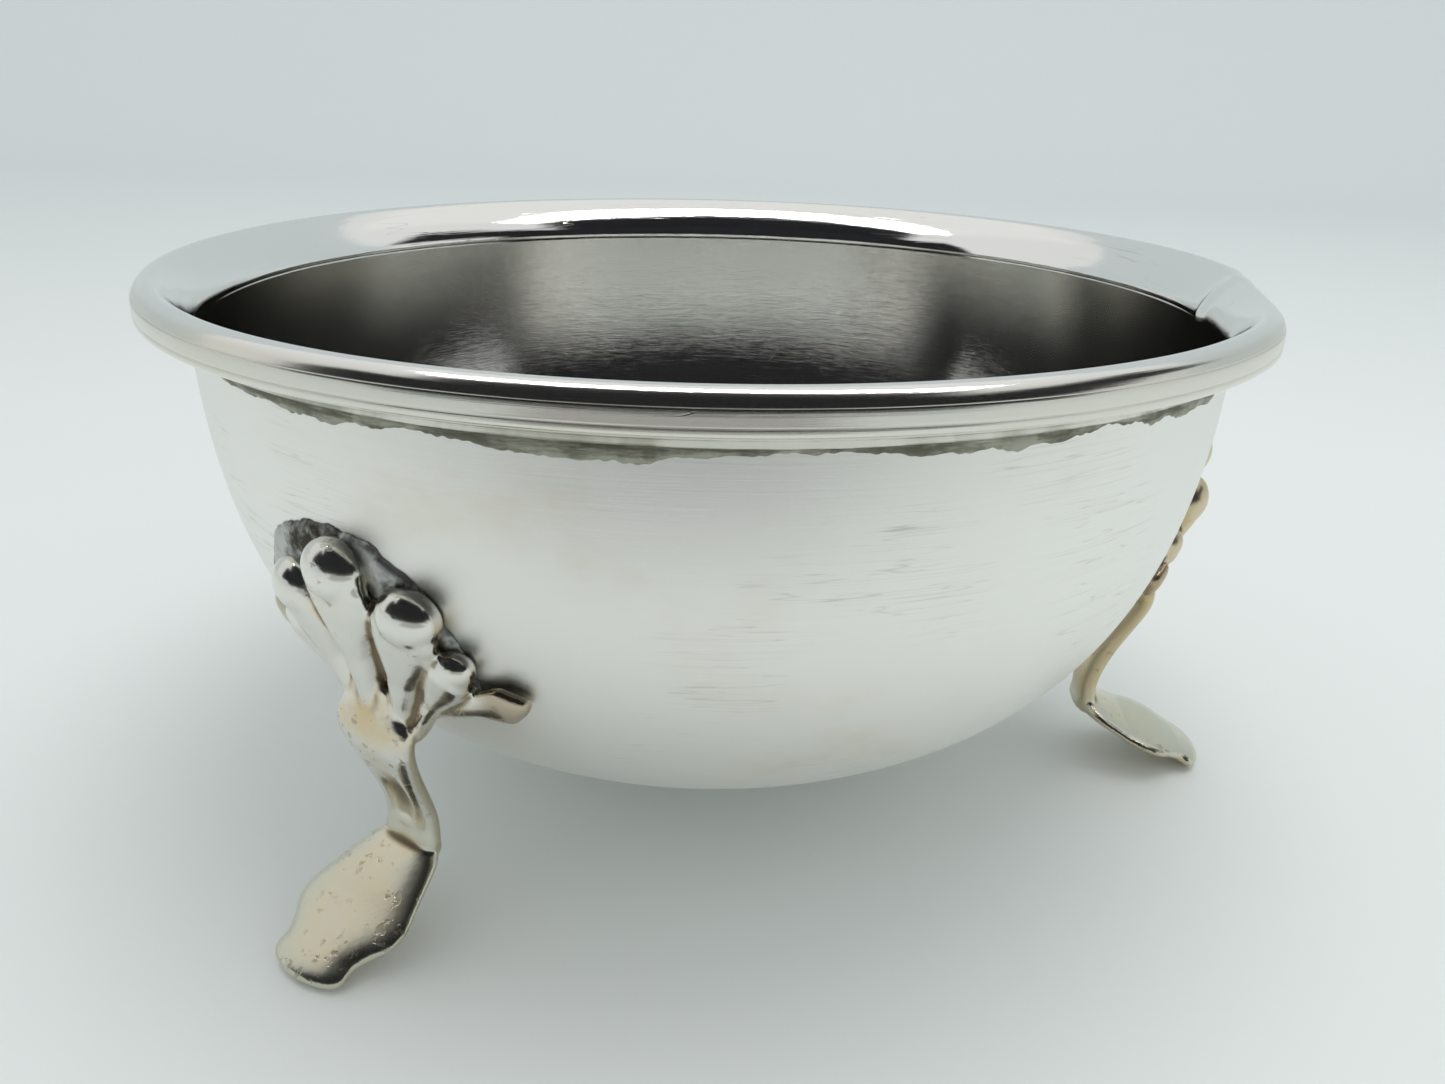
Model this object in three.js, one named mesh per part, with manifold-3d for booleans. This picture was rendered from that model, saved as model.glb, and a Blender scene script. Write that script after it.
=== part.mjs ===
// A small round silver serving bowl on three cast legs, soldered together.
// Millimetres, +Z up. The origin is on the bowl's axis, on the surface that the feet stand on.
// One leg stands on +X and the other two are turned by a third of a turn each way.
import * as THREE from "three";
import { mergeVertices } from "three/addons/utils/BufferGeometryUtils.js";
import Module from "manifold-3d";

const wasm = await Module();
wasm.setup();

// ---- driving dimensions ----
const RIM_RADIUS = 60; // the widest part of the rim moulding
const RIM_HEIGHT = 60; // top of the rim above the table
const BOWL_RADIUS = 55.3; // outside of the bowl, just under the rim
const BOWL_TOP = 55.2; // upper edge of the bowl, inside the rim's rebate
const BOWL_ORIGIN = 57.8; // height where the bowl's curve would stand upright
const BOWL_DEPTH = 50.1; // from that height down to the outside of the bottom
const BOWL_FULLNESS = 3.2; // larger values make the sides fuller
const BOWL_ROUNDNESS = 2.39; // larger values make the bottom flatter
const RIM_SKIRT = 0.8; // how far the rim laps down over the bowl's outside
const WALL = 0.9; // thickness of the raised sheet
const GAP = 0.3; // clearance between neighbouring solids
const SOLDER_THICKNESS = 0.5; // depth of the solder under each leg
// The legs were set by eye, so one is turned and leans by a few degrees (both in radians).
const LEGS = [
  { name: "leg_right", turn: 0, lean: 0 },
  { name: "leg_rear", turn: 0, lean: 0 },
  { name: "leg_front", turn: 0.009, lean: -0.035 },
];
const FAN_HEIGHT = 33; // middle of a leg's fan above the table
const LEG_STANDOFF = GAP + SOLDER_THICKNESS + GAP; // from the bowl to the back of a leg
const ANKLE = { radius: 49.4, height: 9.4 }; // crease between the shank and the foot
const TOE_RADIUS = 61.6; // how far out a toe reaches
const FOOT_THICKNESS = 1.5;
const SHANK_THICKNESS = 2.2;
const SHANK_WAIST = 5; // width of the shank where it is slimmest
const BOWL_SEGMENTS = 48;

// ---- the bowl's outline ----

// Radius of the bowl's outside at a height: a superellipse, fuller than a half circle.
function bowlRadius(height) {
  const drop = THREE.MathUtils.clamp((BOWL_ORIGIN - height) / BOWL_DEPTH, 0, 1);
  return BOWL_RADIUS * (1 - drop ** BOWL_ROUNDNESS) ** (1 / BOWL_FULLNESS);
}

// Height of the bowl's outside at a radius: the same curve, solved the other way.
function bowlHeight(radius) {
  const part = THREE.MathUtils.clamp(radius / BOWL_RADIUS, 0, 1);
  return BOWL_ORIGIN - BOWL_DEPTH * (1 - part ** BOWL_FULLNESS) ** (1 / BOWL_ROUNDNESS);
}

// The outline from the bottom of the bowl to its edge, moved out by an offset along its normal.
function bowlOutline(offset, topHeight, steps = 14) {
  const corner = 42; // the bottom is stepped by radius up to here, and the side by height
  const points = [];
  for (let i = 0; i <= steps / 2; i += 1) {
    const radius = (corner * i) / (steps / 2);
    points.push(new THREE.Vector2(radius, bowlHeight(radius)));
  }
  const low = bowlHeight(corner);
  for (let i = 1; i <= steps / 2; i += 1) {
    const height = low + ((topHeight - low) * i) / (steps / 2);
    points.push(new THREE.Vector2(bowlRadius(height), height));
  }
  return points.map((point, i) => {
    const before = points[Math.max(i - 1, 0)];
    const after = points[Math.min(i + 1, points.length - 1)];
    const along = after.clone().sub(before).normalize();
    const moved = new THREE.Vector2(point.x + along.y * offset, point.y - along.x * offset);
    if (i === 0) moved.set(0, point.y - offset);
    if (i === points.length - 1) moved.set(point.x + offset, point.y);
    return moved;
  });
}

// A place on the leg's side of the bowl: across is the arc length round the bowl, measured at
// WRAP_RADIUS, height is above the table, and out is the distance from the bowl's outside.
const WRAP_RADIUS = 53;
function onBowl(across, height, out) {
  const step = 0.05;
  const slope = (bowlRadius(height + step) - bowlRadius(height - step)) / (2 * step);
  const normal = new THREE.Vector2(1, -slope).normalize();
  const radius = bowlRadius(height) + normal.x * out;
  const angle = across / WRAP_RADIUS;
  return new THREE.Vector3(radius * Math.cos(angle), radius * Math.sin(angle), height + normal.y * out);
}

// ---- geometry helpers ----

// A closed profile, or one that starts and ends on the axis, turned about +Z.
function turned(points, segments = BOWL_SEGMENTS) {
  const geometry = new THREE.LatheGeometry(points, segments);
  geometry.rotateX(Math.PI / 2);
  return geometry;
}

// Moves every vertex of a closed geometry to the place that a function gives for it.
function reshape(geometry, place) {
  const position = geometry.attributes.position;
  const vertex = new THREE.Vector3();
  for (let i = 0; i < position.count; i += 1) {
    vertex.fromBufferAttribute(position, i);
    const moved = place(vertex);
    position.setXYZ(i, moved.x, moved.y, moved.z);
  }
  return geometry;
}

function toSolid(geometry) {
  const bare = geometry.clone();
  bare.deleteAttribute("normal");
  bare.deleteAttribute("uv");
  const merged = mergeVertices(bare, 1e-4);
  const solid = new wasm.Manifold(
    new wasm.Mesh({
      numProp: 3,
      vertProperties: merged.attributes.position.array,
      triVerts: new Uint32Array(merged.index.array),
    }),
  );
  // A geometry reshaped through a mirrored place comes out inside out.
  return solid.volume() > 0 ? solid : flipped(merged);
}

function flipped(geometry) {
  const index = Uint32Array.from(geometry.index.array);
  for (let i = 0; i < index.length; i += 3) {
    [index[i], index[i + 1]] = [index[i + 1], index[i]];
  }
  const vertProperties = geometry.attributes.position.array;
  return new wasm.Manifold(new wasm.Mesh({ numProp: 3, vertProperties, triVerts: index }));
}

function toGeometry(solid) {
  const mesh = solid.getMesh();
  const geometry = new THREE.BufferGeometry();
  geometry.setAttribute("position", new THREE.BufferAttribute(mesh.vertProperties, 3));
  geometry.setIndex(new THREE.BufferAttribute(mesh.triVerts, 1));
  geometry.computeVertexNormals();
  return geometry;
}

// ---- bowl, rim and the solder between them ----

function bowlGeometry() {
  const outside = bowlOutline(0, BOWL_TOP);
  const inside = bowlOutline(-WALL, BOWL_TOP).reverse();
  return turned([...outside, ...inside]);
}

// The moulding: a wide bevel inside, a round crest, an upright band and a lip that turns in.
function rimGeometry() {
  const innerEdge = BOWL_RADIUS - WALL;
  const rebate = BOWL_TOP + GAP;
  const section = new THREE.Path();
  section.moveTo(innerEdge, rebate);
  section.lineTo(BOWL_RADIUS + GAP, rebate);
  section.lineTo(BOWL_RADIUS + GAP, BOWL_TOP - RIM_SKIRT);
  section.quadraticCurveTo(BOWL_RADIUS + 1.4, BOWL_TOP - RIM_SKIRT, RIM_RADIUS - 1.2, RIM_HEIGHT - 4.5);
  section.quadraticCurveTo(RIM_RADIUS, RIM_HEIGHT - 4.4, RIM_RADIUS, RIM_HEIGHT - 3.6);
  section.lineTo(RIM_RADIUS, RIM_HEIGHT - 1.7);
  section.quadraticCurveTo(RIM_RADIUS, RIM_HEIGHT, RIM_RADIUS - 1.3, RIM_HEIGHT);
  section.quadraticCurveTo(innerEdge + 2.4, RIM_HEIGHT - 1.6, innerEdge, RIM_HEIGHT - 4.3);
  section.closePath();
  return turned(section.getPoints(2));
}

function rimSolderGeometry() {
  const top = BOWL_TOP - RIM_SKIRT - GAP;
  const inner = BOWL_RADIUS + GAP;
  const section = [
    new THREE.Vector2(inner - 0.05, top - 1),
    new THREE.Vector2(inner + 0.25, top - 0.75),
    new THREE.Vector2(inner + 0.5, top),
    new THREE.Vector2(inner, top),
  ];
  return turned([...section, section[0]]);
}

// ---- leg ----

// A tapering bar along a curve in the leg's upright plane. halfWidth gives the half width
// across the leg at each fraction of the length.
function bar(curve, halfWidth, thickness, steps) {
  const geometry = new THREE.CylinderGeometry(1, 1, 1, 8, steps);
  return reshape(geometry, (vertex) => {
    const fraction = vertex.y + 0.5;
    const centre = curve.getPoint(fraction);
    const along = curve.getTangent(fraction);
    const front = new THREE.Vector3(along.z, 0, -along.x);
    const squared = (value) => Math.sign(value) * Math.abs(value) ** 0.6;
    centre.addScaledVector(front, (squared(vertex.z) * thickness) / 2);
    centre.y += squared(vertex.x) * halfWidth(fraction);
    return centre;
  });
}

// The S-shaped shank, from the ankle up to the knee and on behind the middle rib.
function shank() {
  const back = SHANK_THICKNESS / 2;
  const curve = new THREE.CatmullRomCurve3([
    new THREE.Vector3(ANKLE.radius - back + 0.3, 0, ANKLE.height - 1.4),
    new THREE.Vector3(ANKLE.radius - back + 0.1, 0, ANKLE.height + 2.6),
    new THREE.Vector3(ANKLE.radius - back + 1.3, 0, ANKLE.height + 7.4),
    new THREE.Vector3(ANKLE.radius - back + 2.9, 0, ANKLE.height + 12.6),
    new THREE.Vector3(ANKLE.radius - back + 3.5, 0, ANKLE.height + 17),
    new THREE.Vector3(ANKLE.radius - back + 3.8, 0, ANKLE.height + 22),
  ]);
  const halfWidth = (fraction) => Math.min(SHANK_WAIST / 2 + 14 * (fraction - 0.27) ** 2, 6);
  return toSolid(bar(curve, halfWidth, SHANK_THICKNESS, 8));
}

// The spade-shaped foot: narrow at the ankle, two shoulders, a notch on each side, a round toe.
function foot() {
  const length = Math.hypot(TOE_RADIUS - ANKLE.radius, ANKLE.height - 0.9);
  const toe = 4.3; // radius of the toe lobe
  const spade = new THREE.Shape();
  spade.moveTo(-1, -3.1);
  spade.quadraticCurveTo(4, -4.2, length * 0.62, -6.1);
  spade.quadraticCurveTo(length * 0.72, -5.8, length * 0.73, -toe);
  spade.absarc(length - toe + 0.4, 0, toe, -Math.PI / 2, Math.PI / 2);
  spade.lineTo(length * 0.73, toe);
  spade.quadraticCurveTo(length * 0.72, 5.8, length * 0.62, 6.1);
  spade.quadraticCurveTo(4, 4.2, -1, 3.1);
  const geometry = new THREE.ExtrudeGeometry(spade, {
    depth: FOOT_THICKNESS - 0.6,
    bevelThickness: 0.3,
    bevelSize: 0.3,
    bevelOffset: -0.3,
    bevelSegments: 1,
    curveSegments: 5,
  });
  const tilt = Math.asin((ANKLE.height - 0.9) / length);
  geometry.translate(0, 0, 0.3 - FOOT_THICKNESS);
  geometry.rotateY(tilt);
  geometry.translate(ANKLE.radius, 0, ANKLE.height);
  return toSolid(geometry);
}

// A knuckled rib lying on the bowl: a slim stem at the knee that swells to a round head.
// start and head are places on the bowl as { across, height, out }.
function rib(start, head, halfWidth, rise) {
  const length = Math.hypot(head.across - start.across, head.height - start.height) + halfWidth;
  const shoulder = 1 - halfWidth / length;
  const steps = 5;
  const profile = [new THREE.Vector2(0, 0)];
  for (let i = 0; i <= steps; i += 1) {
    const fraction = i / steps;
    const swell = 0.4 + 0.6 * THREE.MathUtils.smoothstep(fraction, 0.25, 0.95);
    profile.push(new THREE.Vector2(swell, fraction * shoulder));
  }
  const capSteps = 3;
  for (let i = 1; i <= capSteps; i += 1) {
    const turn = (i / capSteps) * (Math.PI / 2);
    const radius = i === capSteps ? 0 : Math.cos(turn);
    profile.push(new THREE.Vector2(radius, shoulder + (1 - shoulder) * Math.sin(turn)));
  }
  const along = new THREE.Vector2(head.across - start.across, head.height - start.height).normalize();
  return toSolid(
    reshape(new THREE.LatheGeometry(profile, 7), (vertex) => {
      const distance = vertex.y * length;
      const side = vertex.x * halfWidth;
      const depth = vertex.z * rise * (0.7 + 0.3 * Math.min(vertex.y, 1));
      const centreOut = THREE.MathUtils.lerp(start.out, head.out, Math.min(vertex.y / shoulder, 1));
      const across = start.across + along.x * distance + along.y * side;
      const height = start.height + along.y * distance - along.x * side;
      return onBowl(across, height, centreOut + depth);
    }),
  );
}

// A sheet that follows the bowl between two distances from it, inside a closed outline that
// is symmetric about the leg. halfOutline runs from the top down to the bottom.
function sheetOnBowl(halfOutline, near, far, rings = 2) {
  const middle = FAN_HEIGHT + 1;
  const mirrored = halfOutline.slice(1, -1).reverse().map(([across, height]) => [-across, height]);
  const loop = new THREE.CatmullRomCurve3(
    [...halfOutline, ...mirrored].map(([across, height]) => new THREE.Vector3(across, height, 0)),
    true,
  );
  const profile = [];
  for (let i = 0; i <= rings; i += 1) profile.push(new THREE.Vector2(i / rings, 0));
  for (let i = rings; i >= 0; i -= 1) profile.push(new THREE.Vector2(i / rings, 1));
  const segments = 22;
  return toSolid(
    reshape(new THREE.LatheGeometry(profile, segments), (vertex) => {
      const turn = (Math.atan2(vertex.x, vertex.z) / (2 * Math.PI) + 1) % 1;
      const edge = loop.getPoint(Math.round(turn * segments) / segments);
      const share = Math.hypot(vertex.x, vertex.z);
      const out = vertex.y > 0.5 ? far : near;
      return onBowl(edge.x * share, middle + (edge.y - middle) * share, out);
    }),
  );
}

// The fan's ribs: the tall middle one, then each pair outwards, and last the flat tails.
const RIBS = [
  { head: { across: 0, height: 40.4, out: 1.8 }, halfWidth: 3.1, rise: 2.1 },
  { head: { across: 7.4, height: 37.7, out: 1.4 }, halfWidth: 3, rise: 1.8 },
  { head: { across: 11.1, height: 34.2, out: 1.3 }, halfWidth: 2.1, rise: 1.4 },
  { head: { across: 15.4, height: 30, out: 1.5 }, halfWidth: 1.6, rise: 0.8 },
];

// Half outlines, as [across, height], of the fan's back plate and of the solder around it.
const PLATE_OUTLINE = [[0, 42], [7.5, 39.6], [12, 34.4], [12.6, 29.5], [6, 26], [0, 24.6]];
const SOLDER_OUTLINE = [[0, 45], [6.8, 43.6], [11.8, 40], [13.6, 34.5], [16.6, 31.4], [14.6, 27], [6, 25], [0, 24]];

// One leg, in the upright plane through +X, leaning by an angle about its fan.
function legSolid(lean) {
  const knee = 24.4;
  let solid = shank().add(foot()).add(sheetOnBowl(PLATE_OUTLINE, LEG_STANDOFF, LEG_STANDOFF + 1));
  for (const { head, halfWidth, rise } of RIBS) {
    for (const side of head.across === 0 ? [1] : [-1, 1]) {
      const start = { across: side * head.across * 0.24, height: knee, out: 2.2 };
      solid = solid.add(rib(start, { ...head, across: side * head.across }, halfWidth, rise));
    }
  }
  const clearOfBowl = toSolid(turned([...bowlOutline(LEG_STANDOFF, BOWL_TOP), new THREE.Vector2(0, BOWL_TOP)]));
  const table = new THREE.BoxGeometry(200, 200, 20);
  table.translate(0, 0, -10);
  const degrees = THREE.MathUtils.radToDeg(lean);
  const leaning = solid
    .translate([0, 0, -FAN_HEIGHT])
    .rotate([degrees, 0, 0])
    .translate([0, 0, FAN_HEIGHT]);
  return leaning.subtract(clearOfBowl).subtract(toSolid(table));
}

// ---- materials and assembly ----

const satinSilver = new THREE.MeshStandardMaterial({ color: 0xd2d6d2, roughness: 0.35, metalness: 1 });
const polishedSilver = new THREE.MeshStandardMaterial({ color: 0xdedcd4, roughness: 0.12, metalness: 1 });
const solder = new THREE.MeshStandardMaterial({ color: 0x8f938c, roughness: 0.55, metalness: 0.9 });

const group = new THREE.Group();

function addPiece(name, geometry, material, angle = 0) {
  const mesh = new THREE.Mesh(geometry, material);
  mesh.name = name;
  mesh.rotation.z = angle;
  group.add(mesh);
}

addPiece("bowl_shell", bowlGeometry(), satinSilver);
addPiece("rim_moulding", rimGeometry(), polishedSilver);
addPiece("rim_solder", rimSolderGeometry(), solder);

const solderGeometry = toGeometry(sheetOnBowl(SOLDER_OUTLINE, GAP, GAP + SOLDER_THICKNESS));
LEGS.forEach(({ name, lean, turn }, i) => {
  const angle = (i * 2 * Math.PI) / LEGS.length + turn;
  addPiece(name, toGeometry(legSolid(lean)), polishedSilver, angle);
  addPiece(`${name}_solder`, solderGeometry, solder, angle);
});

export default group;
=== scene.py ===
# %% [markdown]
# # A small round silver bowl on three cast legs
#
# The bowl is raised from one disc of silver sheet, a moulded rim is soldered round its mouth, and
# three cast legs with knuckled fans are soldered to its side. The scene loads the engineering
# model of the bowl as a fixed frame and then puts a finely shaped piece over each of its parts.

import bpy
import numpy as np
from mathutils import Matrix, Vector


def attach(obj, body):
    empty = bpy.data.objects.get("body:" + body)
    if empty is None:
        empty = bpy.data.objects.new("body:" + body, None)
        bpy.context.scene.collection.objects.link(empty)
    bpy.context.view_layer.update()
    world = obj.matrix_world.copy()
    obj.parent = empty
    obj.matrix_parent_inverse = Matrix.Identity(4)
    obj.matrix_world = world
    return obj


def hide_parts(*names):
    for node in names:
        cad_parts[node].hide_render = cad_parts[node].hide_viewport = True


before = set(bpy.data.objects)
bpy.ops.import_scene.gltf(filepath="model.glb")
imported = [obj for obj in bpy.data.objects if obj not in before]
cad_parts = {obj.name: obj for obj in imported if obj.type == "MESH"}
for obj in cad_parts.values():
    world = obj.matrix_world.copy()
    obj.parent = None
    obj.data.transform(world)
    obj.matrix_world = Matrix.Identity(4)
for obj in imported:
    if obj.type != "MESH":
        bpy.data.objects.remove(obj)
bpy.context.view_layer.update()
print("parts in the frame:", sorted(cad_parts))

# %% [markdown]
# ## The bowl's outline
#
# Every piece touches the bowl, so its outline is worked out first. A raised bowl is fuller than
# half a ball: a superellipse gives that with two powers, one for the sides and one for the bottom.
# All lengths are in millimetres until a mesh is made.

# %% The outline and places on the bowl
MM = 0.001
BOWL_RADIUS = 55.3
BOWL_TOP = 55.2
BOWL_ORIGIN = 57.8  # the height at which the full outline would be upright
BOWL_DEPTH = 50.1
FULLNESS = 3.2
ROUNDNESS = 2.39
WALL = 0.9
WRAP_RADIUS = 53.0  # arc lengths round the bowl are measured at this radius
CORNER_RADIUS = 42.0  # inside it the outline is stepped by radius, outside it by height
SLOPE_STEP = 0.05


def bowl_radius(height):
    """Outer radius at a height: R (1 - d^a)^(1/b), where d is the share of the depth."""
    drop = np.clip((BOWL_ORIGIN - height) / BOWL_DEPTH, 0, 1)
    return BOWL_RADIUS * (1 - drop**ROUNDNESS) ** (1 / FULLNESS)


def bowl_height(radius):
    """The same curve solved for the height at a radius."""
    share = np.clip(radius / BOWL_RADIUS, 0, 1)
    return BOWL_ORIGIN - BOWL_DEPTH * (1 - share**FULLNESS) ** (1 / ROUNDNESS)


def on_bowl(across, height, out):
    """A place beside the bowl: an arc length round it, a height, and a distance along its normal."""
    slope = (bowl_radius(height + SLOPE_STEP) - bowl_radius(height - SLOPE_STEP)) / (2 * SLOPE_STEP)
    length = np.sqrt(1 + slope**2)
    radius = bowl_radius(height) + out / length
    angle = across / WRAP_RADIUS
    return np.stack([radius * np.cos(angle), radius * np.sin(angle), height - slope * out / length], -1)


def bowl_outline(offset, rows):
    """Radius and height from the bottom's centre to the edge, evenly spaced, moved along the normal."""
    flat = np.linspace(0, CORNER_RADIUS, 400)
    upright = np.linspace(bowl_height(CORNER_RADIUS), BOWL_TOP, 400)[1:]
    radius = np.concatenate([flat, bowl_radius(upright)])
    height = np.concatenate([bowl_height(flat), upright])
    run = np.concatenate([[0], np.cumsum(np.hypot(np.diff(radius), np.diff(height)))])
    even = np.linspace(0, run[-1], rows)
    radius, height = np.interp(even, run, radius), np.interp(even, run, height)
    along = np.stack([np.gradient(radius), np.gradient(height)], -1)
    along /= np.linalg.norm(along, axis=-1, keepdims=True)
    moved = np.stack([radius + along[:, 1] * offset, height - along[:, 0] * offset], -1)
    moved[0, 0] = 0
    moved[-1, 1] = BOWL_TOP
    return moved


print("outside of the bottom is", round(float(bowl_height(0.0)), 2), "mm above the table")

# %% [markdown]
# ## From arrays to meshes
#
# Each piece is a grid of points: rows run along a profile or a path and columns run round it.
# One helper joins a grid into faces, closes its ends at poles, and stores whole arrays in the mesh.

# %% Grids, curves and gentle unevenness
rng = np.random.default_rng(407)


def grid_faces(rows, columns):
    """Quads between neighbouring rows, with the last column joined to the first."""
    row = np.arange(rows - 1)[:, None] * columns
    column = np.arange(columns)[None, :]
    beside = (column + 1) % columns
    quads = np.stack([row + column, row + beside, row + columns + beside, row + columns + column], -1)
    return quads.reshape(-1, 4)


def closed_body(grid):
    """Vertices and faces of a grid whose first and last rows have shrunk to points."""
    rows, columns = grid.shape[:2]
    inner = grid[1:-1].reshape(-1, 3)
    points = np.concatenate([inner, grid[:1, 0], grid[-1:, 0]])
    south, north = len(inner), len(inner) + 1
    column = np.arange(columns)
    beside = (column + 1) % columns
    last = (rows - 3) * columns
    fans = [np.stack([np.full(columns, south), beside, column], -1)]
    fans.append(np.stack([np.full(columns, north), last + column, last + beside], -1))
    return points, grid_faces(rows - 2, columns).tolist() + np.concatenate(fans).tolist()


def closed_ring(grid):
    """Vertices and faces of a grid that joins up in both directions, such as a moulding."""
    rows, columns = grid.shape[:2]
    index = np.arange(rows * columns).reshape(rows, columns)
    right, down = np.roll(index, -1, 1), np.roll(index, -1, 0)
    both = np.roll(right, -1, 0)
    return grid.reshape(-1, 3), np.stack([index, right, both, down], -1).reshape(-1, 4).tolist()


def volume_of(points, faces):
    """Signed volume: each face's fan of triangles makes a thin pyramid with the origin."""
    total = 0.0
    for size in (3, 4):
        chosen = np.array([f for f in faces if len(f) == size])
        if len(chosen):
            a = points[chosen[:, 0]]
            for i in range(1, size - 1):
                total += np.einsum("ij,ij->", a, np.cross(points[chosen[:, i]], points[chosen[:, i + 1]]))
    return total / 6


def linked(name, data):
    """An object in the scene that holds a mesh, a lamp or a camera."""
    thing = bpy.data.objects.new(name, data)
    bpy.context.scene.collection.objects.link(thing)
    return thing


def make_piece(name, points, faces, **attributes):
    """A mesh object at the origin, faces outwards, with one stored number per vertex for each name."""
    if volume_of(points, faces) < 0:
        faces = [f[::-1] for f in faces]
    mesh = bpy.data.meshes.new(name)
    mesh.from_pydata((points * MM).tolist(), [], faces)
    for key, values in attributes.items():
        layer = mesh.attributes.new(key, "FLOAT", "POINT")
        layer.data.foreach_set("value", np.ascontiguousarray(values, np.float32))
    mesh.shade_smooth()
    return linked(name, mesh)


def smooth_curve(knots, count):
    """A Catmull-Rom curve through the knots: each span blends the cubic of its two neighbours."""
    knots = np.asarray(knots, float)
    ends = np.concatenate([2 * knots[:1] - knots[1:2], knots, 2 * knots[-1:] - knots[-2:-1]])
    place = np.linspace(0, len(knots) - 1, count)
    span = np.minimum(place.astype(int), len(knots) - 2)
    t = (place - span)[:, None]
    a, b, c, d = (ends[span + i] for i in range(4))
    cubic = (2 * a - 5 * b + 4 * c - d) * t**2 + (3 * b - a - 3 * c + d) * t**3
    return 0.5 * (2 * b + (c - a) * t + cubic)


def waves(angle, height, count, turns, pitch):
    """A sum of sine waves that join up round the bowl, with heights from about -1 to 1."""
    total = np.zeros(np.broadcast(angle, height).shape)
    for _ in range(count):
        lobes = rng.integers(1, turns)
        slant = rng.uniform(-pitch, pitch)
        total = total + np.sin(lobes * angle + height * slant + rng.uniform(0, 2 * np.pi))
    return total / np.sqrt(count)


# %% [markdown]
# ## The raised bowl
#
# A silversmith raises a bowl with thousands of hammer blows and then planishes it smooth, so its
# wall is never quite true. A lathe would give a perfect surface; here the outline is turned on a
# grid and moved by a few hundredths of a millimetre, so that the reflections bend a little.

# %% Bowl shell
BOWL_COLUMNS = 400
BOWL_ROWS = 110
PLANISHING = 0.035  # height of the broad waves that the hammer leaves
FACETS = 0.008  # height of the small ones


def per_vertex(values):
    """One number per row repeated round the bowl, with the two poles last."""
    return np.concatenate([np.repeat(values[1:-1], BOWL_COLUMNS), values[:1], values[-1:]])


def raised_bowl():
    """Outline outside, then inside, turned round the axis, with low waves that fade at the bottom."""
    outside = bowl_outline(0, BOWL_ROWS)
    inside = bowl_outline(-WALL, BOWL_ROWS)[::-1]
    outline = np.concatenate([outside, inside])
    angle = np.linspace(0, 2 * np.pi, BOWL_COLUMNS, endpoint=False)[None, :]
    radius, height = outline[:, :1], outline[:, 1:]
    hammered = waves(angle, height, 14, 9, 0.12) * PLANISHING + waves(angle, height, 20, 26, 0.5) * FACETS
    hammered = hammered * np.clip(radius / 20, 0, 1)
    turned = radius + hammered * np.clip((BOWL_TOP - height) / 4, 0.2, 1)
    points = np.stack([turned * np.cos(angle), turned * np.sin(angle), height + 0 * angle], -1)
    run = np.concatenate([[0], np.cumsum(np.hypot(*np.diff(outline, axis=0).T))])
    side = np.repeat([0.0, 1.0], BOWL_ROWS)
    return closed_body(points), per_vertex(run), per_vertex(side)


(bowl_points, bowl_faces), bowl_run, bowl_side = raised_bowl()
bowl_shell = make_piece("bowl_shell_raised", bowl_points, bowl_faces, along=bowl_run, inside=bowl_side)
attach(bowl_shell, "root")
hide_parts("bowl_shell")
print("bowl shell:", len(bowl_shell.data.polygons), "faces")

# %% [markdown]
# ## The rim moulding
#
# The rim is a strip of moulding: a wide bevel inside, a round crest, an upright band with two fine
# drawn lines, and a rounded lip along its lower edge. It is drawn through a die, bent round and
# soldered on. Here one profile is carried round the ring, and a knock has pushed it in at one place.

# %% Rim moulding
RIM_COLUMNS = 720
RIM_RADIUS = 60.0
BEVEL_RADIUS = 54.4  # the bevel's inner edge
KNOCK_ANGLE, KNOCK_WIDTH = np.radians(-8.0), 0.21
CORNER_ANGLE, CORNER_WIDTH = np.radians(5.5), 0.035
NICK_ANGLE, NICK_WIDTH = np.radians(1.0), 0.022
KNOCK_DEPTH, CORNER_BULGE, NICK_DEPTH = 1.6, 0.25, 0.55
KNOCK_SAG = 0.25
DRAWN_LINES = (58.63, 57.25)  # heights of the two lines in the band
DRAWN_WIDTH = 0.16

# Knots (radius, height) and a number of points for the bevel, the crest, the upper drawn line, the
# band with the lower line, the lip, and the underside back to the bowl.
RIM_SPANS = [
    ([(54.25, 54.8), (54.28, 55.3), (54.55, 56.15), (55.2, 57.3), (56.2, 58.5), (57.2, 59.4)], 34),
    ([(57.2, 59.4), (57.8, 59.83), (58.4, 60.0), (59.05, 59.83), (59.6, 59.36), (59.93, 58.72)], 26),
    ([(59.93, 58.72), (59.93, 58.63), (59.97, 58.5), (60.0, 58.1), (60.0, 57.7)], 14),
    ([(60.0, 57.7), (60.0, 57.5), (59.99, 57.38), (59.965, 57.25), (59.98, 57.1)], 12),
    ([(59.98, 57.1), (59.98, 56.9), (59.88, 56.62), (59.5, 56.35), (58.9, 56.1)], 16),
    ([(58.9, 56.1), (58.0, 55.6), (56.6, 54.8), (55.6, 54.7), (55.5, 55.3), (54.6, 55.2)], 16),
]


def near_angle(angle, middle, width):
    """A bell shape round the ring: 1 at the middle and fading over the width, in radians."""
    apart = (angle - middle + np.pi) % (2 * np.pi) - np.pi
    return np.exp(-((apart / width) ** 2))


def rim_profile():
    """Radius and height round the moulding's section, from the inner edge over the crest."""
    return np.concatenate([smooth_curve(knots, count)[:-1] for knots, count in RIM_SPANS])


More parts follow.
